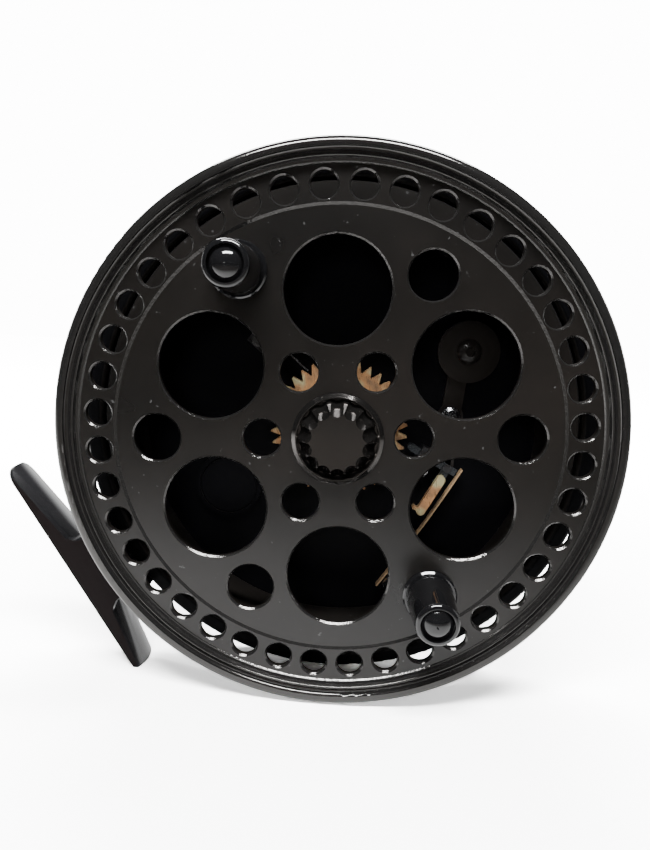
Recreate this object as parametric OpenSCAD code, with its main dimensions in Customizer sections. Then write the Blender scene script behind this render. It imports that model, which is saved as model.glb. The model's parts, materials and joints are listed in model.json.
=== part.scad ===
// Large-diameter fly reel of the free-running centrepin pattern.
// Every piece is drawn on the bench: the reel lies on its back, the spindle points up
// along +Z, and heights are measured from the flat rim of the back plate.
// stand() then turns the whole reel on edge, so that the spindle lies along Y,
// the handles point to -Y and +Z is up.

/* [Drum] */
// Outside diameter of the drum's beaded rim and of the back plate
reel_d = 121.6; // [115:0.2:125]
// Height of the drum's flat face above the back of the reel
face_h = 22.5; // [22:0.1:24]
// Thickness of the drum's perforated face
face_t = 1.6; // [1.2:0.1:2]
// Number of small perforations round the rim
rim_hole_n = 40; // [36:2:42]
// Radius of the ring of rim perforations
rim_ring_r = 52.06; // [51.6:0.05:52.4]
// Radius of one rim perforation
rim_hole_r = 2.85; // [2.2:0.05:3]
// Radius of the ring of six large windows
window_ring_r = 31.15; // [30.5:0.05:31.5]
// Radius of one large window
window_r = 11.3; // [10:0.1:11.6]
// Radius of the ring of four lightening holes
light_ring_r = 39.3; // [39:0.1:39.6]
// Radius of one lightening hole
light_r = 5.15; // [4.5:0.05:5.3]
// Radius of the ring of six hub holes
hub_ring_r = 16.36; // [16:0.02:16.6]
// Radius of one hub hole
hub_hole_r = 4.1; // [3.5:0.1:4.3]
// Chamfer on the edges of the holes
hole_chamfer = 0.35; // [0.2:0.05:0.45]

/* [Handles] */
// Distance of each handle from the spindle
handle_ring_r = 40.9; // [40.5:0.1:41.2]
// Overall height of a handle above the drum's face
handle_h = 14.6; // [13:0.1:17]
// Radius of the handle's foot flange
handle_flange_r = 6; // [5.7:0.05:6.2]
// Radius of the grip at its foot
grip_foot_r = 5.25; // [5:0.05:5.4]
// Radius of the grip at its outer end
grip_end_r = 4.6; // [4.5:0.05:4.8]

/* [Hub] */
// Radius of the spindle under the bearings
spindle_r = 3; // [2.9:0.05:3.1]
// Number of balls in each bearing
ball_n = 9; // [8:1:9]
// Number of flutes on the spindle cap
flute_n = 14; // [12:1:16]
// Height of the spindle cap above the drum's face
cap_h = 4.9; // [4:0.1:6]

/* [Check] */
// Number of teeth on the check gear
gear_teeth = 36; // [36:4:40]
// Radius over the gear's teeth
gear_tip_r = 16.1; // [15.8:0.05:16.2]
// Radius at the roots of the gear's teeth
gear_root_r = 13.9; // [13.6:0.05:14.1]
// Travel of the pawl from clear to engaged
pawl_travel = 2.2; // [1.8:0.1:2.3]
// Distance of the crank pin from the check knob's axis
crank_r = 3.4; // [3.2:0.1:3.6]

/* [Foot] */
// Direction of the foot round the reel, counter-clockwise from +X in the front view
foot_dir = 209.6; // [205:0.1:214]
// Distance from the spindle to the foot's underside
foot_seat_h = 72.3; // [71:0.1:73]
// Overall length of the foot
foot_len = 62.4; // [60:0.1:64]
// Width of the foot's tongues
foot_w = 9.8; // [9.4:0.1:11]

/* [Hidden] */
$fn = 96;
eps = 0.01;             // overlap that keeps a cut from leaving a skin
run_gap = 0.05;         // radial clearance of a running fit
reel_r = reel_d / 2;

// Heights of the main planes above the back of the reel
recess_h = 2.4;         // floor of the shallow recess in the back
web_top = 5.4;          // front of the back plate's web
rim_top = 9;            // front edge of the back plate's rim
rim_in_r = 56.6;        // inside of the back plate's rim
rear_ring_r = 53;       // inside of the ring the reel lies on
gear_z = 6.7;           // rear of the check gear
gear_t = 2.2;
drum_rear_z = 6.5;      // rear of the drum's rear flange
rear_flange_t = 1.6;
rear_flange_r = 56.1;
arbor_out_r = 48;       // line surface of the drum
arbor_in_r = 46.2;
annulus_in_r = 48.65;   // start of the raised perforated ring
annulus_out_r = 56;
step_h = 0.35;          // step between the inner face and the perforated ring
face_back = face_h - face_t;

// Rim of the drum, in the section through the spindle: bead, cove and ridge
bead_r = 1.7;
bead_x = reel_r - bead_r;
skirt_z = face_back - 2.05;             // rear edge of the rim's skirt
bead_z = face_h + 1.15;
ridge_r = 0.35;
ridge_x = 57.35;
ridge_z = face_h + 1.15;
cove_r = 0.85;
cove_x = 58.1;
cove_z = face_h + 2.1;

// Hub and bearings
hub_r = 10.6;
hub_low_r = 9.5;
bearing_r = 6.5;
bearing_w = 5;
bearing_rear_z = 7.2;
bearing_front_z = 16.2;
race_in_r = 4.1;        // outside of an inner ring
race_out_r = 5.5;       // inside of an outer ring
pitch_r = 4.8;          // circle through the ball centres
ball_r = 0.95;
gear_bore_r = 7.2;
gear_screw_ring = 9.3;
gear_screw_dirs = [30, 150, 270];
boss_r = 6.6;
boss_top = 6.5;
stub_r = 3.5;
cap_ring_r = 10;
cap_base_r = 8.5;
cap_top_r = 6.2;
flute_r = 1.85;
flute_floor_r = 5.4;                    // distance from the axis to the flutes' floors at the top
cap_seat_z = face_h - 0.5;

// Places in the check mechanism, seen from the front
tooth_phase = -12.5;                  // direction of the tooth gap that the pawl enters
pawl_tip = [16.45, -4.15];            // middle of the pawl's end when clear of the gear
pawl_dir = -31.2;                     // direction from the tip to the tail
pawl_w = 1.7;
pawl_len = 13.3;                      // from the pawl's end to the leaf spring
tail_at = 10.9;                       // from the pawl's end to the pin in its tail
tail_t = 1;
yoke_len = 11;
yoke_w = 2.1;
yoke_drop = 7.5;                      // from the pawl's axis to the yoke's middle
yoke_rivet_drop = 3.6;
guide_at = [3, 7.4];                  // reach of the guide along the pawl
guide_lug = 4.7;
lever_pivot = [26.4, 2.6];
knob_pos = [30, 17.8];
medal_pos = [-27, -14.6];
medal_r = 8;
spring_end = [9.1, -39.3];
spring_tip = [29.1, -9.9];
spring_t = 0.35;
reed_tip = [-7.3, 13.4];
reed_root = [-16.2, 21.4];
reed_t = 0.25;

handle_dirs = [120, -60];
post_top = face_h + handle_h - 3.6;
grip_rim_z = face_h + handle_h - 1.7;   // start of the grip's rounded shoulder
dome_base_r = 3.45;
dome_h = 1.9;
light_dirs = [60, 0, -120, 180];
window_dirs = [for (i = [0:5]) 90 + 60 * i];
hub_dirs = [for (i = [0:5]) 60 * i];
rim_phase = 3;                        // direction of the first rim perforation

foot_front_z = 15.5;                  // front side of the foot
foot_mid_z = foot_front_z - foot_w / 2;
foot_shift = 0.8;                     // offset of the foot's middle towards the lower tongue
foot_end_r = 4;                       // corner radius of the tongues' ends
pedestal_z = 1.2;                     // rear side of the pedestal
foot_screw_z = 5;
foot_screw_u = 5.5;                   // half the distance between the foot screws
foot_tip_t = 0.1;                     // thickness at the tips, at the side
foot_root_t = 3.4;                    // thickness where the pedestal starts, at the side
foot_pedestal = 10.2;                 // half length of the pedestal
foot_crown_r = 12.6;                  // radius of the rounded top of the foot
foot_screw_r = 1.25;
foot_head_r = 2.4;

// Places in the check mechanism that follow from the driving ones
pawl_u = [cos(pawl_dir), sin(pawl_dir)];
pawl_v = [-pawl_u[1], pawl_u[0]];
guide_holes = [for (u = [4.15, 6.35]) pawl_tip + u * pawl_u - 3.3 * pawl_v];
yoke_mid = pawl_tip + tail_at * pawl_u - yoke_drop * pawl_v;
yoke_rivet_at = pawl_tip + tail_at * pawl_u - yoke_rivet_drop * pawl_v;
spring_u = (spring_tip - spring_end) / norm(spring_tip - spring_end);
spring_v = [-spring_u[1], spring_u[0]];
spring_hole = spring_end + 2.5 * spring_u - 2.3 * spring_v;
reed_u = (reed_root - reed_tip) / norm(reed_root - reed_tip);
reed_v = [-reed_u[1], reed_u[0]];
reed_hole = reed_root + 1.2 * reed_u + 2.2 * reed_v;
pawl_pin_at = pawl_tip + tail_at * pawl_u;
lever_swing = direction(pawl_pin_at - lever_pivot)
    - direction(pawl_pin_at - pawl_travel * pawl_u - lever_pivot);
arm_up = norm(knob_pos - lever_pivot) - crank_r;
knob_swing = 2 * asin(arm_up * tan(lever_swing) / (2 * crank_r));
crank_rest = direction(lever_pivot - knob_pos) - knob_swing / 2;
crank_pin = knob_pos + crank_r * [cos(crank_rest), sin(crank_rest)];
lever_z = web_top + 0.15;
lever_t = 0.9;
crank_pin_r = 0.8;
fork_gap = 0.35;                      // room each side of a pin in the lever's forks
cam_r = 7.2;
cam_z = lever_z + lever_t + 0.15;
cam_t = 1.2;

function direction(v) = atan2(v[1], v[0]);

// Stands the reel on edge
module stand() { rotate([90, 0, 0]) children(); }

// Places children round the spindle at a radius, for each direction in a list
module around(r, dirs) { for (a = dirs) rotate([0, 0, a]) translate([r, 0, 0]) children(); }

// A ring standing on height z
module ring(r_out, r_in, z, h) {
    translate([0, 0, z]) difference() {
        cylinder(r = r_out, h = h);
        translate([0, 0, -eps]) cylinder(r = r_in, h = h + 2 * eps);
    }
}

// A hole through the drum's face, chamfered at the front
module face_hole(r, top) {
    translate([0, 0, face_back - 1]) cylinder(r = r, h = face_t + 2);
    translate([0, 0, top - hole_chamfer])
        cylinder(r1 = r, r2 = r + hole_chamfer + eps, h = hole_chamfer + eps);
}

// A cheese-head screw, driven downwards, with a slot
module slot_screw(r, len, head_r, head_h) {
    translate([0, 0, -len]) cylinder(r = r, h = len + eps, $fn = 32);
    difference() {
        cylinder(r = head_r, h = head_h, $fn = 48);
        translate([-head_r, -head_r / 6, head_h * 0.55]) cube([2 * head_r, head_r / 3, head_h]);
    }
}

// A flat plate with round ends from a to b
module bar(a, b, w, z, h) {
    d = b - a;
    translate([a[0], a[1], z]) rotate([0, 0, atan2(d[1], d[0])]) {
        translate([0, -w / 2, 0]) cube([norm(d), w, h]);
        cylinder(r = w / 2, h = h, $fn = 48);
        translate([norm(d), 0, 0]) cylinder(r = w / 2, h = h, $fn = 48);
    }
}

// Section of the drum, drawn as [radius, height] from the rear of the bore and round
module drum_section() {
    face = face_h - step_h;
    skirt = bead_r - 0.12;
    flange_z = drum_rear_z + rear_flange_t;
    gear_top = gear_z + gear_t;
    polygon([
        // Bore, with a land between the two bearings
        [bearing_r, gear_z], [bearing_r, bearing_rear_z + bearing_w],
        [bearing_r - 0.5, bearing_rear_z + bearing_w], [bearing_r - 0.5, bearing_front_z],
        [bearing_r, bearing_front_z],
        // Face, perforated ring and the foot of the ridge
        [bearing_r, face], [annulus_in_r - 0.6, face], [annulus_in_r, face_h],
        [annulus_out_r, face_h], [annulus_out_r + 0.25, face_h + 0.3],
        [annulus_out_r + 0.8, face_h + 0.5], [ridge_x - 0.2, ridge_z],
        // Skirt under the bead
        [bead_x + skirt, bead_z], [bead_x + skirt, skirt_z + 0.5], [bead_x + skirt - 0.5, skirt_z],
        [bead_x - skirt + 0.5, skirt_z], [bead_x - skirt, skirt_z + 0.5], [bead_x - skirt, face_back],
        // Arbor and rear flange
        [arbor_out_r, face_back], [arbor_out_r, flange_z], [rear_flange_r - 0.4, flange_z],
        [rear_flange_r, flange_z - 0.4], [rear_flange_r, drum_rear_z + 0.4],
        [rear_flange_r - 0.4, drum_rear_z], [arbor_in_r, drum_rear_z], [arbor_in_r, face_back],
        // Hub, stepped down to the gear's spigot
        [hub_r, face_back], [hub_r, face_back - 3], [hub_low_r, face_back - 3],
        [hub_low_r, gear_top + 1.6], [hub_low_r + 1.6, gear_top + 1.6], [hub_low_r + 1.6, gear_top],
        [gear_bore_r, gear_top], [gear_bore_r, gear_z]]);
}

// A ring of round wire
module torus(ring_r, z, r) { rotate_extrude($fn = 180) translate([ring_r, z]) circle(r = r, $fn = 48); }

module drum() {
    color([0.09, 0.085, 0.08]) stand() difference() {
        union() {
            rotate_extrude($fn = 180) drum_section();
            torus(bead_x, bead_z, bead_r);
            torus(ridge_x, ridge_z, ridge_r);
        }
        torus(cove_x, cove_z, cove_r);
        // Seat of the bearing cap
        translate([0, 0, bearing_front_z + bearing_w]) cylinder(r = 8.95, h = 5);
        for (a = [0:rim_hole_n - 1]) rotate([0, 0, rim_phase + a * 360 / rim_hole_n])
            translate([rim_ring_r, 0, 0]) face_hole(rim_hole_r, face_h);
        around(window_ring_r, window_dirs) face_hole(window_r, face_h - step_h);
        around(light_ring_r, light_dirs) face_hole(light_r, face_h - step_h);
        around(hub_ring_r, hub_dirs) face_hole(hub_hole_r, face_h - step_h);
        // Holes for the handle posts and the gear screws
        around(handle_ring_r, handle_dirs)
            translate([0, 0, face_back - 1]) cylinder(r = 2, h = face_t + 2, $fn = 48);
        around(gear_screw_ring, gear_screw_dirs)
            translate([0, 0, gear_z]) cylinder(r = 0.8, h = gear_t + 3, $fn = 32);
    }
}

module bearing_cap() {
    z0 = bearing_front_z + bearing_w;
    color([0.12, 0.12, 0.12]) stand() rotate_extrude($fn = 120)
        polygon([[5.6, z0], [8.9, z0], [8.9, face_h - step_h], [cap_ring_r, face_h - step_h],
                 [cap_ring_r, face_h + 0.3], [cap_ring_r - 0.15, face_h + 0.45],
                 [cap_base_r + 0.55, face_h + 1.1], [cap_base_r + 0.35, face_h + 1.1],
                 [cap_base_r + 0.1, face_h + 0.85],
                 [cap_base_r + 0.1, cap_seat_z - 0.1], [5.6, cap_seat_z - 0.1]]);
}

// Fluted cap that screws into the spindle and keeps the drum on
module spindle_cap() {
    top = face_h + cap_h;
    slope = atan((cap_base_r - cap_top_r) / (top - cap_seat_z - 0.9));
    color([0.13, 0.12, 0.12]) stand() {
        difference() {
            union() {
                translate([0, 0, cap_seat_z]) cylinder(r = cap_base_r, h = 0.9);
                translate([0, 0, cap_seat_z + 0.9])
                    cylinder(r1 = cap_base_r, r2 = cap_top_r, h = top - cap_seat_z - 0.9);
            }
            for (i = [0:flute_n - 1]) rotate([0, 0, 90 + i * 360 / flute_n])
                translate([flute_floor_r + flute_r / cos(slope), 0, top]) rotate([0, 180 - slope, 0])
                    translate([0, 0, -2]) cylinder(r = flute_r, h = 9, $fn = 64);
        }
        translate([0, 0, bearing_front_z + bearing_w])
            cylinder(r = 3.8, h = cap_seat_z - bearing_front_z - bearing_w + eps);
        translate([0, 0, bearing_front_z]) cylinder(r = 1.9, h = bearing_w + eps, $fn = 48);
    }
}

module spindle() {
    color([0.75, 0.75, 0.76]) stand() difference() {
        union() {
            translate([0, 0, 0.5]) cylinder(r = stub_r, h = boss_top - 0.5);
            translate([0, 0, boss_top]) cylinder(r = race_in_r, h = bearing_rear_z - boss_top);
            translate([0, 0, bearing_rear_z])
                cylinder(r = spindle_r, h = bearing_front_z + bearing_w - bearing_rear_z);
        }
        translate([0, 0, bearing_front_z - 1]) cylinder(r = 1.9, h = 8, $fn = 48);
    }
}

module spindle_nut() {
    color([0.7, 0.7, 0.72]) stand() difference() {
        translate([0, 0, 0.6]) cylinder(r = 6, h = recess_h - 0.6, $fn = 6);
        translate([0, 0, 0.1]) cylinder(r = stub_r, h = recess_h);
    }
}

module both_bearings() { for (z = [bearing_rear_z, bearing_front_z]) translate([0, 0, z]) children(); }

module race_groove() {
    rotate_extrude() translate([pitch_r, bearing_w / 2]) circle(r = ball_r, $fn = 48);
}

module bearing_inner_rings() {
    color([0.8, 0.8, 0.82]) stand() both_bearings() difference() {
        ring(race_in_r, spindle_r, 0, bearing_w);
        race_groove();
    }
}

module bearing_outer_rings() {
    color([0.8, 0.8, 0.82]) stand() both_bearings() difference() {
        ring(bearing_r, race_out_r, 0, bearing_w);
        race_groove();
    }
}

module bearing_balls() {
    color([0.85, 0.85, 0.87]) stand() both_bearings()
        for (i = [0:ball_n - 1]) rotate([0, 0, i * 360 / ball_n])
            translate([pitch_r, 0, bearing_w / 2]) sphere(r = ball_r - 0.01, $fn = 48);
}

module bearing_cages() {
    color([0.72, 0.55, 0.25]) stand() both_bearings() difference() {
        ring(pitch_r + 0.35, pitch_r - 0.35, bearing_w / 2 - 1.5, 3);
        for (i = [0:ball_n - 1]) rotate([0, 0, i * 360 / ball_n])
            translate([pitch_r - 1, 0, bearing_w / 2]) rotate([0, 90, 0])
                cylinder(r = ball_r + 0.08, h = 2, $fn = 48);
    }
}

module bearing_spacer() {
    color([0.7, 0.7, 0.7]) stand()
        ring(race_in_r - 0.1, spindle_r, bearing_rear_z + bearing_w,
             bearing_front_z - bearing_rear_z - bearing_w);
}

// Gear blank with pointed teeth
module check_gear() {
    pitch = 360 / gear_teeth;
    pts = [for (i = [0:gear_teeth - 1], k = [0:3])
        let (a = tooth_phase + i * pitch + [0.06, 0.45, 0.55, 0.94][k] * pitch,
             r = [gear_root_r, gear_tip_r, gear_tip_r, gear_root_r][k])
        r * [cos(a), sin(a)]];
    color([0.78, 0.6, 0.32]) stand() translate([0, 0, gear_z]) difference() {
        linear_extrude(gear_t) polygon(pts);
        translate([0, 0, -eps]) cylinder(r = gear_bore_r, h = gear_t + 2 * eps);
        around(gear_screw_ring, gear_screw_dirs)
            translate([0, 0, -eps]) cylinder(r = 0.8, h = gear_t + 2 * eps, $fn = 32);
    }
}

module gear_screws() {
    color([0.7, 0.7, 0.72]) stand() around(gear_screw_ring, gear_screw_dirs)
        translate([0, 0, gear_z]) rotate([180, 0, 0]) slot_screw(0.8, gear_t + 2.4, 1.6, 0.85);
}

module handle_posts() {
    z0 = face_h - step_h;
    color([0.1, 0.1, 0.1]) stand() around(handle_ring_r, handle_dirs) {
        rotate_extrude($fn = 72)
            polygon([[0, z0], [handle_flange_r, z0], [handle_flange_r, z0 + 0.9],
                     [handle_flange_r - 0.35, z0 + 1.25], [0, z0 + 1.25]]);
        translate([0, 0, z0 + 1]) cylinder(r = 1.9, h = post_top - z0 - 1, $fn = 48);
        // Riveted tail behind the face
        translate([0, 0, face_back - 0.01]) cylinder(r = 2, h = face_t, $fn = 48);
        translate([0, 0, face_back - 0.8]) cylinder(r = 2.8, h = 0.8, $fn = 48);
    }
}

// Turned grip with a waist-free taper and a rounded shoulder
module handle_grip(dir) {
    z0 = face_h - step_h + 1.35;
    z1 = grip_rim_z;
    around(handle_ring_r, [dir]) difference() {
        union() {
            translate([0, 0, z0]) cylinder(r1 = grip_foot_r - 0.3, r2 = grip_foot_r, h = 0.3, $fn = 72);
            translate([0, 0, z0 + 0.3])
                cylinder(r1 = grip_foot_r, r2 = grip_end_r, h = z1 - z0 - 0.3, $fn = 72);
            translate([0, 0, z1]) rotate_extrude($fn = 72)
                intersection() {
                    translate([0, -eps]) square([grip_end_r, 1.1]);
                    union() {
                        square([grip_end_r - 1, 1]);
                        translate([grip_end_r - 1, 0]) circle(r = 1, $fn = 48);
                    }
                }
        }
        translate([0, 0, z0 - eps]) cylinder(r = 1.9 + run_gap, h = handle_h, $fn = 48);
        translate([0, 0, z1 - 0.3]) cylinder(r = dome_base_r + 0.1, h = 3, $fn = 72);
    }
}

module handle_grip_upper() { color([0.05, 0.05, 0.05]) stand() handle_grip(handle_dirs[0]); }
module handle_grip_lower() { color([0.05, 0.05, 0.05]) stand() handle_grip(handle_dirs[1]); }

// Domed screws that close the outer ends of the handles
module handle_end_caps() {
    z1 = grip_rim_z - 0.2;
    dome_r = 4.1;
    color([0.06, 0.06, 0.06]) stand() around(handle_ring_r, handle_dirs) {
        translate([0, 0, z1]) rotate_extrude($fn = 72) intersection() {
            square([dome_base_r, dome_h]);
            translate([0, dome_h - dome_r]) circle(r = dome_r, $fn = 96);
        }
        translate([0, 0, post_top]) cylinder(r = 1.9, h = z1 - post_top + eps, $fn = 48);
    }
}

// Back plate: web, deep rim, spindle boss and round medallion boss
module back_plate() {
    color([0.1, 0.095, 0.09]) stand() difference() {
        union() {
            rotate_extrude($fn = 180) {
                translate([0, recess_h]) square([rim_in_r + 1, web_top - recess_h]);
                translate([rear_ring_r, 0.8]) square([reel_r - rear_ring_r, web_top - 0.8]);
                translate([rear_ring_r + 0.8, 0]) square([reel_r - rear_ring_r - 1.6, 1]);
                translate([reel_r - 0.8, 0.8]) circle(r = 0.8, $fn = 48);
                translate([rear_ring_r + 0.8, 0.8]) circle(r = 0.8, $fn = 48);
                translate([rim_in_r, web_top - eps])
                    square([reel_r - rim_in_r, rim_top - 1.2 - web_top]);
                translate([rim_in_r + 1.2, rim_top - 2.4]) square([reel_r - rim_in_r - 2.4, 2.4]);
                translate([rim_in_r + 1.2, rim_top - 1.2]) circle(r = 1.2, $fn = 48);
                translate([reel_r - 1.2, rim_top - 1.2]) circle(r = 1.2, $fn = 48);
                translate([0, web_top - eps]) square([boss_r, boss_top - web_top + eps]);
            }
            translate([medal_pos[0], medal_pos[1], web_top - eps]) cylinder(r = medal_r, h = 1);
        }
        translate([0, 0, -1]) cylinder(r = stub_r, h = 12);
        translate([medal_pos[0], medal_pos[1], 0]) ring(medal_r - 0.9, medal_r - 1.3, web_top + 0.7, 1);
        translate([knob_pos[0], knob_pos[1], 0]) {
            cylinder(r = 2.5 + run_gap, h = 10, $fn = 64);
            translate([0, 0, -1]) cylinder(r = 7, h = 1.6 + recess_h);
        }
        // Blind and through holes for what is screwed or pressed into the plate
        for (p = [lever_pivot, spring_hole, reed_hole])
            translate([p[0], p[1], recess_h + 0.8]) cylinder(r = 1, h = 8, $fn = 32);
        for (p = guide_holes)
            translate([p[0], p[1], recess_h + 0.8]) cylinder(r = 0.8, h = 8, $fn = 32);
        foot_screw_holes(foot_screw_r);
    }
}

module foot_screw_holes(r) {
    foot_frame() for (u = [-foot_screw_u, foot_screw_u])
        translate([u, foot_screw_z - foot_mid_z, -1]) cylinder(r = r, h = 18, $fn = 48);
}

// Frame of the foot: u along the foot, v across it towards the front of the reel,
// w from the underside towards the spindle
module foot_frame() {
    rotate([0, 0, foot_dir]) translate([foot_seat_h, foot_shift, foot_mid_z])
        rotate([90, 0, -90]) children();
}

// One half of the foot: a tapering tongue, rounded on top, with a rounded end
module foot_tongue() {
    half = foot_len / 2;
    rise = atan((foot_root_t - foot_tip_t) / (half - foot_pedestal));
    sag = foot_crown_r - sqrt(pow(foot_crown_r, 2) - pow(foot_w / 2, 2));
    intersection() {
        union() {
            translate([0, -foot_w / 2, 0]) cube([half - foot_end_r, foot_w, 12]);
            translate([half - foot_end_r, -foot_w / 2 + foot_end_r, 0])
                cube([foot_end_r, foot_w - 2 * foot_end_r, 12]);
            for (v = [-1, 1]) translate([half - foot_end_r, v * (foot_w / 2 - foot_end_r), 0])
                cylinder(r = foot_end_r, h = 12);
        }
        translate([half, 0, foot_tip_t + sag - foot_crown_r]) rotate([0, -90 + rise, 0])
            translate([0, 0, -20]) cylinder(r = foot_crown_r, h = half + 30, $fn = 180);
        translate([0, -20, 0]) cube([half + 1, 40, 12]);
    }
}

module reel_foot() {
    color([0.12, 0.115, 0.12]) stand() difference() {
        foot_frame() {
            foot_tongue();
            mirror([1, 0, 0]) foot_tongue();
            // Pedestal with coved ends, up to the rim of the reel
            difference() {
                translate([-foot_pedestal, pedestal_z - foot_mid_z, 0])
                    cube([2 * foot_pedestal, foot_front_z - pedestal_z, 15]);
                for (s = [-1, 1]) translate([s * (foot_pedestal + 1.4), 0, foot_root_t + 3.4])
                    rotate([90, 0, 0]) cylinder(r = 3.2, h = 40, center = true, $fn = 72);
            }
        }
        // Saddle that fits the back plate's rim
        translate([0, 0, -1]) cylinder(r = reel_r, h = 30, $fn = 180);
        foot_screw_holes(foot_screw_r);
        foot_frame() for (u = [-foot_screw_u, foot_screw_u])
            translate([u, foot_screw_z - foot_mid_z, -eps])
                cylinder(r1 = foot_head_r + 0.05, r2 = foot_screw_r, h = 1.3, $fn = 48);
    }
}

module foot_screws() {
    color([0.25, 0.25, 0.26]) stand() foot_frame() for (u = [-foot_screw_u, foot_screw_u])
        translate([u, foot_screw_z - foot_mid_z, 0]) difference() {
            union() {
                translate([0, 0, 0.05])
                    cylinder(r1 = foot_head_r - 0.05, r2 = foot_screw_r, h = 1.2, $fn = 48);
                translate([0, 0, 1]) cylinder(r = foot_screw_r, h = 13.5, $fn = 48);
            }
            translate([-0.3, -3, -1]) cube([0.6, 6, 1.6]);
        }
}

// Steel pawl: a narrow slide whose bevelled end drops between two teeth
module check_pawl() {
    color([0.68, 0.7, 0.72]) stand() translate([pawl_tip[0], pawl_tip[1], gear_z])
        rotate([0, 0, pawl_dir]) difference() {
            union() {
                linear_extrude(gear_t)
                    polygon([[0, -0.45], [1.1, -pawl_w / 2], [tail_at - 1.5, -pawl_w / 2],
                             [tail_at - 1.5, pawl_w / 2], [1.1, pawl_w / 2], [0, 0.45]]);
                translate([tail_at - 1.6, -pawl_w / 2, 0]) cube([pawl_len - tail_at + 1.6, pawl_w, tail_t]);
                translate([tail_at - yoke_w / 2, -yoke_rivet_drop - 1.1, 0])
                    cube([yoke_w, yoke_rivet_drop + 1.1, tail_t]);
            }
            translate([tail_at, 0, -1]) cylinder(r = 0.7, h = 4, $fn = 32);
            translate([tail_at, -yoke_rivet_drop, -1]) cylinder(r = 0.6, h = 4, $fn = 32);
        }
}

// Brass yoke riveted to the pawl's tail
module pawl_yoke() {
    a = yoke_mid + (yoke_len - yoke_w) / 2 * pawl_v;
    b = yoke_mid - (yoke_len - yoke_w) / 2 * pawl_v;
    color([0.82, 0.66, 0.42]) stand() difference() {
        union() {
            bar(a, b, yoke_w, gear_z + tail_t, gear_t - tail_t + 0.3);
            bar(b, b - 1.9 * pawl_u, 0.9, gear_z + tail_t, gear_t - tail_t + 0.3);
        }
        translate([yoke_rivet_at[0], yoke_rivet_at[1], 0]) cylinder(r = 0.6, h = 20, $fn = 32);
    }
}

module yoke_rivet() {
    color([0.8, 0.66, 0.42]) stand() translate([yoke_rivet_at[0], yoke_rivet_at[1], gear_z])
        cylinder(r = 0.6, h = gear_t + 0.3, $fn = 32);
}

// Pin through the pawl's tail, worked by the lever's lower fork
module pawl_pin() {
    color([0.7, 0.7, 0.72]) stand() translate([pawl_pin_at[0], pawl_pin_at[1], 0]) {
        translate([0, 0, web_top + 0.1]) cylinder(r = 0.7, h = gear_z + tail_t - web_top - 0.1, $fn = 32);
        translate([0, 0, gear_z + tail_t]) cylinder(r = 1, h = 0.4, $fn = 32);
    }
}

// Channel that guides the pawl towards the gear, with a lug for its two screws
module pawl_guide() {
    len = guide_at[1] - guide_at[0];
    color([0.35, 0.34, 0.33]) stand() difference() {
        translate([pawl_tip[0], pawl_tip[1], web_top]) rotate([0, 0, pawl_dir]) {
            translate([guide_at[0], -2, 0]) cube([len - 1.35, 3.9, gear_z + gear_t - web_top + 0.7]);
            translate([guide_at[0], -guide_lug, 0]) cube([len, guide_lug - 1.9, 2.4]);
        }
        translate([pawl_tip[0], pawl_tip[1], gear_z - run_gap]) rotate([0, 0, pawl_dir])
            translate([0, -pawl_w / 2 - run_gap, 0])
                cube([20, pawl_w + 2 * run_gap, gear_t + 2 * run_gap]);
        for (p = guide_holes) translate([p[0], p[1], 0]) cylinder(r = 0.8, h = 20, $fn = 32);
    }
}

module guide_screws() {
    color([0.7, 0.7, 0.72]) stand() for (p = guide_holes)
        translate([p[0], p[1], web_top + 2.4]) slot_screw(0.8, 4.2, 1.05, 0.7);
}

// Long leaf spring, gripped by a block at its lower end
module check_spring() {
    len = norm(spring_tip - spring_end);
    sag = 0.9;
    n = 8;
    color([0.66, 0.47, 0.25]) stand() translate([0, 0, gear_z]) linear_extrude(1.9)
        polygon([for (s = [0, 1], i = [0:n])
            let (k = s == 0 ? i / n : 1 - i / n, w = s == 0 ? 0 : spring_t)
            spring_end + spring_u * len * k - spring_v * (sag * 4 * k * (1 - k) * 0.5 + w)]);
}

module spring_block() {
    color([0.3, 0.3, 0.3]) stand() difference() {
        translate([spring_end[0], spring_end[1], web_top])
            rotate([0, 0, atan2(spring_u[1], spring_u[0])]) translate([0, -4.2, 0]) cube([5, 3.4, 3.6]);
        translate([spring_hole[0], spring_hole[1], 0]) cylinder(r = 1, h = 20, $fn = 32);
    }
}

module spring_screw() {
    color([0.7, 0.7, 0.72]) stand()
        translate([spring_hole[0], spring_hole[1], web_top + 3.6]) slot_screw(1, 5.4, 1.6, 0.9);
}

// Thin steel reed that clicks on the gear
module click_reed() {
    color([0.75, 0.75, 0.76]) stand()
        translate([reed_root[0], reed_root[1], gear_z + 0.2])
            rotate([0, 0, atan2(-reed_u[1], -reed_u[0])]) translate([-2.4, 0, 0])
                cube([norm(reed_tip - reed_root) + 2.4, reed_t, 1.6]);
}

module reed_block() {
    color([0.3, 0.3, 0.3]) stand() difference() {
        translate([reed_root[0], reed_root[1], web_top])
            rotate([0, 0, atan2(reed_u[1], reed_u[0])]) translate([-1, 0, 0]) cube([4.4, 4, 3.4]);
        translate([reed_hole[0], reed_hole[1], 0]) cylinder(r = 1, h = 20, $fn = 32);
    }
}

module reed_screw() {
    color([0.7, 0.7, 0.72]) stand()
        translate([reed_hole[0], reed_hole[1], web_top + 3.4]) slot_screw(1, 5.2, 1.5, 0.9);
}

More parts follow.
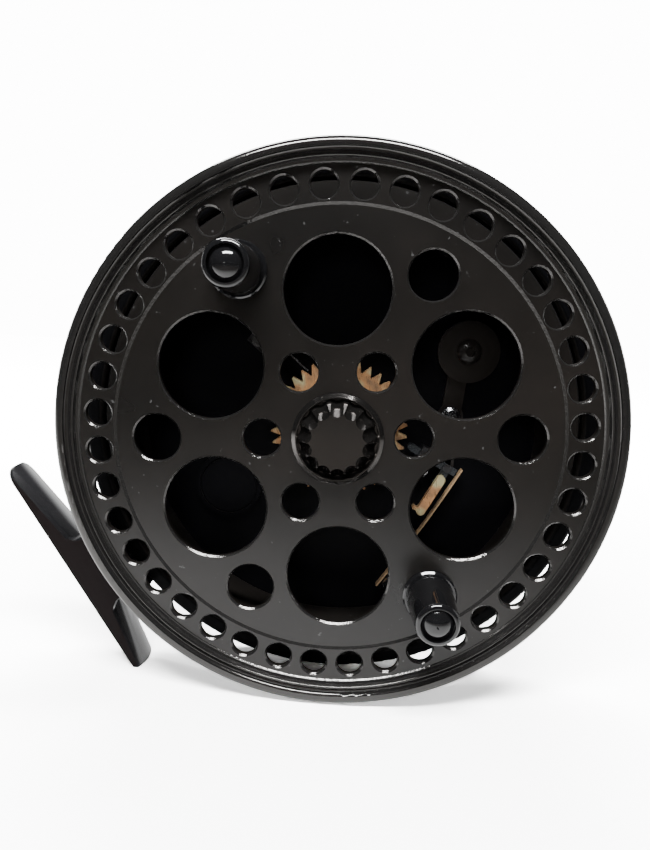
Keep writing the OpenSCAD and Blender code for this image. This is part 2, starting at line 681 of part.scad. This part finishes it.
// Rocking lever between the knob's crank and the pawl's yoke, with a fork at each end
module check_lever() {
    low = pawl_pin_at - lever_pivot;
    up = crank_pin - lever_pivot;
    color([0.3, 0.3, 0.31]) stand() difference() {
        union() {
            bar(lever_pivot, lever_pivot + low, 3.4, lever_z, lever_t);
            bar(lever_pivot, lever_pivot + up * 0.93, 4.6, lever_z, lever_t);
            translate([lever_pivot[0], lever_pivot[1], lever_z]) cylinder(r = 3, h = lever_t);
        }
        translate([lever_pivot[0], lever_pivot[1], 0]) cylinder(r = 1.4 + run_gap, h = 20, $fn = 48);
        fork_slot(low, norm(low) - 2.2, 0.7 + fork_gap);
        fork_slot(up, norm(up) - 1.7, crank_pin_r + fork_gap);
        translate([knob_pos[0], knob_pos[1], 0]) cylinder(r = 2.5, h = 20, $fn = 48);
    }
}

// Open slot at the end of one arm of the lever
module fork_slot(arm, from, half_w) {
    translate([lever_pivot[0], lever_pivot[1], 0]) rotate([0, 0, direction(arm)])
        translate([from, -half_w, 0]) cube([10, 2 * half_w, 20]);
}

module lever_post() {
    color([0.4, 0.4, 0.42]) stand() translate([lever_pivot[0], lever_pivot[1], 0]) {
        translate([0, 0, recess_h + 1]) cylinder(r = 1, h = web_top - recess_h, $fn = 32);
        translate([0, 0, web_top]) cylinder(r = 1.4, h = lever_t + 0.3, $fn = 48);
        translate([0, 0, lever_z + lever_t + 0.1]) cylinder(r = 2.3, h = 0.6, $fn = 48);
        translate([0, 0, lever_z + lever_t + 0.7]) cylinder(r1 = 2.3, r2 = 1.5, h = 0.5, $fn = 48);
    }
}

// Round knob, let into the back of the reel, with a finger bar across it
module check_knob() {
    color([0.12, 0.12, 0.12]) stand() translate([knob_pos[0], knob_pos[1], 0]) {
        difference() {
            translate([0, 0, 0.3]) cylinder(r = 6.6, h = recess_h + 0.5 - 0.3);
            for (s = [-1, 1]) translate([-8, s * 4.3 - 2.8, -1]) cube([16, 5.6, 2.6]);
        }
        translate([0, 0, recess_h]) cylinder(r = 2.5, h = lever_z - recess_h - 0.1, $fn = 64);
        translate([0, 0, lever_z - 0.2]) cylinder(r = 1.9, h = cam_z + cam_t - lever_z + 0.2, $fn = 48);
    }
}

// Crank disc on the inner end of the knob
module knob_cam() {
    color([0.16, 0.16, 0.16]) stand() {
        translate([knob_pos[0], knob_pos[1], 0]) ring(cam_r, 1.9, cam_z, cam_t);
        translate([crank_pin[0], crank_pin[1], lever_z])
            cylinder(r = crank_pin_r, h = cam_z - lever_z + eps, $fn = 32);
    }
}

// Domed socket screw that holds the crank disc on
module knob_screw() {
    color([0.2, 0.2, 0.2]) stand() translate([knob_pos[0], knob_pos[1], cam_z + cam_t]) difference() {
        rotate_extrude($fn = 72) intersection() {
            square([2.9, 1.9]);
            translate([0, -1.5]) circle(r = 3.4, $fn = 96);
        }
        translate([0, 0, 0.7]) cylinder(r = 1.15, h = 3, $fn = 6);
    }
}

back_plate();
reel_foot();
foot_screws();
spindle();
spindle_nut();
bearing_inner_rings();
bearing_outer_rings();
bearing_balls();
bearing_cages();
bearing_spacer();
drum();
bearing_cap();
spindle_cap();
check_gear();
gear_screws();
handle_posts();
handle_grip_upper();
handle_grip_lower();
handle_end_caps();
check_pawl();
pawl_yoke();
yoke_rivet();
pawl_pin();
pawl_guide();
guide_screws();
check_spring();
spring_block();
spring_screw();
click_reed();
reed_block();
reed_screw();
check_lever();
lever_post();
check_knob();
knob_cam();
knob_screw();
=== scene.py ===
"""Fly reel: materials, fine detail, stage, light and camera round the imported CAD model."""
import json
import math

import bpy
from mathutils import Matrix, Vector


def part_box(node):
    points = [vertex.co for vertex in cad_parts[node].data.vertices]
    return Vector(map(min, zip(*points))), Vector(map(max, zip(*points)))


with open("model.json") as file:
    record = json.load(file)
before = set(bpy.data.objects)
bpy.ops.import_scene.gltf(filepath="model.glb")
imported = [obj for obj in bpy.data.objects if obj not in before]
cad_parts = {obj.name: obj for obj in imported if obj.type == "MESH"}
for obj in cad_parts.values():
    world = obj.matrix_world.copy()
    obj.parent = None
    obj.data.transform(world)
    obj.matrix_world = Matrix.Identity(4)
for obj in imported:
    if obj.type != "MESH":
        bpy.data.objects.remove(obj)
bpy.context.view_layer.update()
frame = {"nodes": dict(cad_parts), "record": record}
nodes = frame["nodes"]
MM = 0.001

RIM_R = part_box("drum")[1].z
# The perforated face ends and the polished rim begins at this radius
RIM_STEP = 56.1 * MM
# The reel stands on its rim and on the lower tip of its foot, so the floor is tangent to both
FOOT_TIP = Vector((-46.3, 0, -63.5)) * MM
FLOOR_TILT = math.acos(RIM_R / FOOT_TIP.length) - math.atan2(-FOOT_TIP.x, -FOOT_TIP.z)
FLOOR_Z = -RIM_R / math.cos(FLOOR_TILT) - 0.0002
# What the camera sees of the backdrop and the floor, and what they send to the reel
BACKDROP_SEEN = (14, 14, 14)
FLOOR_SEEN = (3.4, 3.4, 3.4)
ROOM = (0.008, 0.008, 0.0085)
PAPER = (2.6, 2.6, 2.6)


# ---------------------------------------------------------------- materials

def join_colours(tree, mix, a, b):
    """Sets or links the two colours of a mix node and returns its colour output."""
    sockets = {s.name: s for s in mix.inputs if s.type == "RGBA"}
    for key, value in (("A", a), ("B", b)):
        if isinstance(value, tuple):
            sockets[key].default_value = (*value, 1)
        else:
            tree.links.new(value, sockets[key])
    return [s for s in mix.outputs if s.type == "RGBA"][0]


class Shader:
    """A node material: a Principled surface with helpers for noise, mixing and bump."""

    def __init__(self, name, colour, metallic=0.0, roughness=0.4, coat=0.0):
        self.mat = bpy.data.materials.new(name)
        self.mat.use_nodes = True
        self.tree = self.mat.node_tree
        self.surface = self.tree.nodes["Principled BSDF"]
        self.set("Base Color", (*colour, 1))
        self.set("Metallic", metallic)
        self.set("Roughness", roughness)
        self.set("Coat Weight", coat)
        self.coords = self.node("ShaderNodeTexCoord").outputs["Object"]

    def node(self, kind, **values):
        made = self.tree.nodes.new(kind)
        for key, value in values.items():
            setattr(made, key, value)
        return made

    def link(self, out, into):
        self.tree.links.new(out, into)

    def set(self, name, value):
        self.surface.inputs[name].default_value = value

    def noise(self, scale, detail=3.0, stretch=(1, 1, 1), rough=0.55):
        mapping = self.node("ShaderNodeMapping")
        mapping.inputs["Scale"].default_value = stretch
        self.link(self.coords, mapping.inputs["Vector"])
        tex = self.node("ShaderNodeTexNoise")
        tex.inputs["Scale"].default_value = scale
        tex.inputs["Detail"].default_value = detail
        tex.inputs["Roughness"].default_value = rough
        self.link(mapping.outputs["Vector"], tex.inputs["Vector"])
        return tex.outputs["Fac"]

    def span(self, value, low, high, start=0.0, end=1.0):
        """Maps value from start..end onto low..high, clamped."""
        made = self.node("ShaderNodeMapRange")
        limits = {"From Min": start, "From Max": end, "To Min": low, "To Max": high}
        for key, number in limits.items():
            made.inputs[key].default_value = number
        self.link(value, made.inputs["Value"])
        return made.outputs["Result"]

    def maths(self, operation, *values):
        made = self.node("ShaderNodeMath", operation=operation)
        for socket, value in zip(made.inputs, values):
            if isinstance(value, (int, float)):
                socket.default_value = value
            else:
                self.link(value, socket)
        return made.outputs["Value"]

    def split(self, vector):
        made = self.node("ShaderNodeSeparateXYZ")
        self.link(vector, made.inputs["Vector"])
        return made.outputs

    def radius(self):
        """Distance from the spindle's axis."""
        xyz = self.split(self.coords)
        return self.maths("SQRT", self.maths("ADD", self.maths("MULTIPLY", xyz["X"], xyz["X"]),
                                             self.maths("MULTIPLY", xyz["Z"], xyz["Z"])))

    def forward(self):
        """How squarely the surface faces the front of the reel, -1 to 1."""
        normal = self.node("ShaderNodeTexCoord").outputs["Normal"]
        return self.maths("MULTIPLY", self.split(normal)["Y"], -1.0)

    def between(self, value, low, high, soft):
        """1 between low and high, 0 outside them."""
        up = self.span(value, 0, 1, low - soft, low + soft)
        down = self.span(value, 1, 0, high - soft, high + soft)
        return self.maths("MULTIPLY", up, down)

    def mix(self, factor, a, b):
        made = self.node("ShaderNodeMix", data_type="RGBA")
        self.link(factor, made.inputs["Factor"])
        return join_colours(self.tree, made, a, b)

    def bump(self, height, strength, distance):
        made = self.node("ShaderNodeBump")
        made.inputs["Strength"].default_value = strength
        made.inputs["Distance"].default_value = distance
        self.link(height, made.inputs["Height"])
        previous = self.surface.inputs["Normal"].links
        if previous:
            self.link(previous[0].from_socket, made.inputs["Normal"])
        self.link(made.outputs["Normal"], self.surface.inputs["Normal"])


BLACK = (0.0048, 0.0044, 0.0041)
WORN_BLACK = (0.0090, 0.0074, 0.0064)


def satin_black(name, roughness=0.3):
    """Bead-blasted and anodised aluminium: fine grain, a faint sheen and soft wear."""
    s = Shader(name, BLACK, roughness=roughness)
    patch = s.noise(38, 3)
    s.link(s.mix(s.span(patch, 0, 1, 0.3, 0.7), BLACK, WORN_BLACK), s.surface.inputs["Base Color"])
    s.link(s.span(patch, roughness - 0.03, roughness + 0.04, 0.3, 0.7), s.surface.inputs["Roughness"])
    s.bump(s.noise(5200, 2), 0.25, 0.00004)
    return s.mat


def turned_black(name):
    """The drum: satin faces, polished chamfers with cutter marks, and a polished rim."""
    s = Shader(name, BLACK)
    patch = s.noise(30, 4)
    speck = s.between(s.noise(700, 2), 0.74, 1.2, 0.02)
    rim = s.span(s.radius(), 0, 1, RIM_STEP, RIM_STEP + 0.3 * MM)
    chamfer = s.maths("MULTIPLY", s.between(s.forward(), 0.5, 0.9, 0.04), s.maths("SUBTRACT", 1.0, rim))
    shine = s.maths("MAXIMUM", chamfer, rim)
    satin = s.span(patch, 0.27, 0.34, 0.3, 0.7)
    polished = s.span(patch, 0.08, 0.13, 0.3, 0.7)
    mixed = s.node("ShaderNodeMix")
    s.link(shine, mixed.inputs["Factor"])
    s.link(satin, mixed.inputs["A"])
    s.link(polished, mixed.inputs["B"])
    s.link(mixed.outputs["Result"], s.surface.inputs["Roughness"])
    black = s.mix(s.span(patch, 0, 1, 0.3, 0.7), BLACK, WORN_BLACK)
    dusty = s.mix(speck, black, (0.05, 0.05, 0.05))
    bare = s.mix(shine, dusty, (0.068, 0.066, 0.064))
    s.link(bare, s.surface.inputs["Base Color"])
    s.link(s.maths("MULTIPLY", shine, 0.85), s.surface.inputs["Metallic"])
    s.bump(s.noise(5200, 2), 0.22, 0.00004)
    chatter = s.maths("MULTIPLY", s.noise(1600, 2), chamfer)
    s.bump(chatter, 0.8, 0.00008)
    return s.mat


def plate_black(name):
    """The back plate: satin outside; the side that faces the drum is duller, and its darker base colour
    is a painted shade for the shadow inside the drum.
    """
    s = Shader(name, BLACK)
    patch = s.noise(38, 3)
    # Painted shade: the side that faces the drum gets a darker base colour for the shadow inside the
    # drum, and more roughness and less specular
    painted_shade_inside = s.span(s.forward(), 0, 1, 0.8, 0.95)
    worn = s.mix(s.span(patch, 0, 1, 0.3, 0.7), BLACK, WORN_BLACK)
    s.link(s.mix(painted_shade_inside, worn, (0.002, 0.002, 0.0025)), s.surface.inputs["Base Color"])
    s.link(s.span(painted_shade_inside, 0.3, 0.5), s.surface.inputs["Roughness"])
    s.link(s.span(painted_shade_inside, 0.5, 0.05), s.surface.inputs["Specular IOR Level"])
    s.bump(s.noise(5200, 2), 0.22, 0.00004)
    return s.mat


def machined_black(name, roughness=0.08):
    """Polished black parts: a little metallic, with faint turning lines round the axis."""
    s = Shader(name, (0.11, 0.104, 0.10), metallic=0.95, roughness=roughness)
    rings = s.maths("SINE", s.maths("MULTIPLY", s.radius(), 42000.0))
    wear = s.noise(120, 3)
    s.link(s.span(wear, roughness - 0.02, roughness + 0.04, 0.35, 0.7), s.surface.inputs["Roughness"])
    s.bump(rings, 0.06, 0.00001)
    s.bump(s.noise(2600, 2), 0.1, 0.00002)
    return s.mat


def foot_black(name):
    """The foot: polished tongues, with milled satin flanks that look brown in the light."""
    s = Shader(name, (0.012, 0.010, 0.010))
    flank = s.span(s.forward(), 0, 1, 0.9, 0.97)
    s.link(s.mix(flank, (0.012, 0.012, 0.013), (0.007, 0.005, 0.005)), s.surface.inputs["Base Color"])
    s.link(s.span(flank, 0.16, 0.4), s.surface.inputs["Roughness"])
    s.link(s.span(flank, 0.9, 0.05), s.surface.inputs["Specular IOR Level"])
    s.bump(s.noise(2500, 3, (1, 1, 0.1)), 0.12, 0.00003)
    return s.mat


def gloss_black(name, roughness=0.07):
    s = Shader(name, (0.006, 0.006, 0.0065), roughness=roughness, coat=0.6)
    s.set("Coat Roughness", 0.03)
    s.link(s.span(s.noise(90, 4), roughness, roughness + 0.05, 0.35, 0.75), s.surface.inputs["Roughness"])
    s.bump(s.noise(600, 2), 0.05, 0.00002)
    return s.mat


def metal(name, colour, roughness, metallic=1.0, grain_scale=900, depth=0.00002, dark=0.75):
    s = Shader(name, colour, metallic=metallic, roughness=roughness)
    grain = s.noise(grain_scale, 3)
    stain = s.noise(120, 4)
    deep = tuple(c * dark for c in colour)
    s.link(s.mix(s.span(stain, 0, 1, 0.35, 0.7), colour, deep), s.surface.inputs["Base Color"])
    s.link(s.span(grain, roughness - 0.06, roughness + 0.08, 0.3, 0.7), s.surface.inputs["Roughness"])
    s.bump(grain, 0.3, depth)
    return s.mat


def tarnished_brass(name):
    """Cut brass with a patchy film that runs from straw to orange."""
    s = Shader(name, (0.7, 0.5, 0.26), metallic=0.55, roughness=0.3)
    film = s.noise(210, 3)
    warm = s.mix(s.span(film, 0, 1, 0.36, 0.52), (0.46, 0.41, 0.23), (0.50, 0.26, 0.12))
    stain = s.span(s.noise(420, 4), 0, 1, 0.45, 0.7)
    s.link(s.mix(stain, warm, (0.20, 0.13, 0.08)), s.surface.inputs["Base Color"])
    grain = s.noise(1500, 3, (1, 1, 0.2))
    s.link(s.span(grain, 0.22, 0.38, 0.3, 0.7), s.surface.inputs["Roughness"])
    s.bump(grain, 0.3, 0.00002)
    return s.mat


MATERIALS = {
    "black_anodised": satin_black("black_anodised"),
    "black_polished": machined_black("black_polished"),
    "black_gloss": gloss_black("black_gloss"),
    "steel": metal("steel", (0.62, 0.63, 0.65), 0.24),
    "bearing_steel": metal("bearing_steel", (0.8, 0.8, 0.82), 0.12),
    "brass": tarnished_brass("brass"),
    "bronze": metal("bronze", (0.48, 0.32, 0.18), 0.30, 0.5, dark=0.55),
    "dark_steel": metal("dark_steel", (0.10, 0.10, 0.105), 0.30),
}


def paint(node, material):
    slots = node.data.materials
    if not slots:
        slots.append(material)
    for i in range(len(slots)):
        slots[i] = material


for entry in frame["record"]["subparts"]:
    paint(nodes[entry["node"]], MATERIALS[entry["material_slot"]])
paint(nodes["drum"], turned_black("drum_black"))
paint(nodes["back_plate"], plate_black("plate_black"))
paint(nodes["reel_foot"], foot_black("foot_black"))
paint(nodes["pawl_pin"], MATERIALS["dark_steel"])
paint(nodes["check_pawl"], metal("blued_steel", (0.05, 0.055, 0.06), 0.25, 0.7))


# ---------------------------------------------------------------- stage, light, camera

def camera_pick(tree, for_camera, for_light):
    """A colour that is one value to the camera and another to every other ray."""
    path = tree.nodes.new("ShaderNodeLightPath")
    mix = tree.nodes.new("ShaderNodeMix")
    mix.data_type = "RGBA"
    mix.clamp_result = False
    tree.links.new(path.outputs["Is Camera Ray"], mix.inputs["Factor"])
    return join_colours(tree, mix, for_light, for_camera)


def make_floor():
    """A white sheet, tangent to the rim and to the foot's lower tip."""
    mesh = bpy.data.meshes.new("floor")
    half = 1.6
    corners = [(-half, -half, 0), (half, -half, 0), (half, half, 0), (-half, half, 0)]
    mesh.from_pydata(corners, [], [(0, 1, 2, 3)])
    floor = bpy.data.objects.new("floor", mesh)
    floor.location = (0, 0, FLOOR_Z)
    floor.rotation_euler = (0, FLOOR_TILT, 0)
    s = Shader("floor_white", (0.8, 0.8, 0.8), roughness=0.6)
    s.set("Specular IOR Level", 0.2)
    # To every ray but the camera's, the floor is white near the reel, dark further in front and dimmer
    # towards the right
    place = s.split(s.coords)
    under = s.span(place["Y"], 0, 1, -0.17, -0.06)
    leftward = s.span(place["X"], 1, 0.3, 0.0, 0.12)
    sheet = s.maths("MULTIPLY", under, leftward)
    sent = s.mix(sheet, (0.05, 0.045, 0.04), (0.8, 0.8, 0.8))
    s.link(camera_pick(s.tree, FLOOR_SEEN, sent), s.surface.inputs["Base Color"])
    s.bump(s.noise(60, 3), 0.02, 0.0002)
    # The paper runs into the backdrop with no horizon
    away = s.node("ShaderNodeVectorMath", operation="LENGTH")
    s.link(s.coords, away.inputs[0])
    fade = s.span(away.outputs["Value"], 0, 1, 0.10, 0.45)
    seen = s.node("ShaderNodeMath", operation="MULTIPLY")
    s.link(fade, seen.inputs[0])
    s.link(s.node("ShaderNodeLightPath").outputs["Is Camera Ray"], seen.inputs[1])
    s.set("Emission Color", (1, 1, 1, 1))
    s.link(s.span(seen.outputs["Value"], 0, BACKDROP_SEEN[0]), s.surface.inputs["Emission Strength"])
    mesh.materials.append(s.mat)
    bpy.context.scene.collection.objects.link(floor)


def area(name, place, target, width, height, power):
    data = bpy.data.lights.new(name, "AREA")
    data.shape = "RECTANGLE"
    data.size = width
    data.size_y = height
    data.energy = power
    light = bpy.data.objects.new(name, data)
    light.location = place
    aim = Vector(target) - Vector(place)
    light.rotation_euler = aim.to_track_quat("-Z", "Y").to_euler()
    bpy.context.scene.collection.objects.link(light)
    return light


def make_world():
    """White paper behind the reel and a dim room in front of it."""
    world = bpy.data.worlds.new("studio")
    world.use_nodes = True
    tree = world.node_tree
    back = tree.nodes["Background"]
    split = tree.nodes.new("ShaderNodeSeparateXYZ")
    tree.links.new(tree.nodes.new("ShaderNodeTexCoord").outputs["Generated"], split.inputs["Vector"])
    ramp = tree.nodes.new("ShaderNodeValToRGB")
    ramp.color_ramp.interpolation = "EASE"
    low, high = ramp.color_ramp.elements
    low.position, low.color = 0.45, (*ROOM, 1)
    high.position, high.color = 0.85, (*PAPER, 1)
    spread = tree.nodes.new("ShaderNodeMapRange")
    spread.inputs["From Min"].default_value = -1
    tree.links.new(split.outputs["Y"], spread.inputs["Value"])
    tree.links.new(spread.outputs["Result"], ramp.inputs["Fac"])
    # The paper ends above the reel, so what faces upwards mirrors the dark room
    above = tree.nodes.new("ShaderNodeMapRange")
    for key, number in (("From Min", 0.25), ("From Max", 0.45), ("To Min", 0), ("To Max", 1)):
        above.inputs[key].default_value = number
    tree.links.new(split.outputs["Z"], above.inputs["Value"])
    paper = tree.nodes.new("ShaderNodeMix")
    paper.data_type = "RGBA"
    tree.links.new(above.outputs["Result"], paper.inputs["Factor"])
    lit = join_colours(tree, paper, ramp.outputs["Color"], ROOM)
    tree.links.new(camera_pick(tree, BACKDROP_SEEN, lit), back.inputs["Color"])
    bpy.context.scene.world = world


def make_camera():
    """A phone held close in front of the reel, a little above its middle and tilted down."""
    data = bpy.data.cameras.new("camera")
    data.lens = 26
    data.sensor_width = 36
    data.clip_start = 0.005
    camera = bpy.data.objects.new("camera", data)
    place = Vector((2.95, -151.6, 24.37)) * MM
    forward = Vector((-0.04295, 0.98567, -0.16312))
    right = Vector((0.99907, 0.04312, -0.00245))
    up = right.cross(forward)
    rotation = Matrix((right, up, -forward)).transposed()
    camera.matrix_world = Matrix.Translation(place) @ rotation.to_4x4()
    bpy.context.scene.collection.objects.link(camera)
    bpy.context.scene.camera = camera


make_floor()
make_world()
area("top", (0.02, -0.30, 0.52), (0, -0.02, 0), 0.42, 0.10, 11)
area("back_top", (0.0, 0.23, 0.45), (0, 0, 0), 0.5, 0.10, 6)
fill = area("fill", (-0.05, -0.42, 0.12), (0, 0, 0), 0.12, 0.12, 1.1)
fill.visible_glossy = False
make_camera()
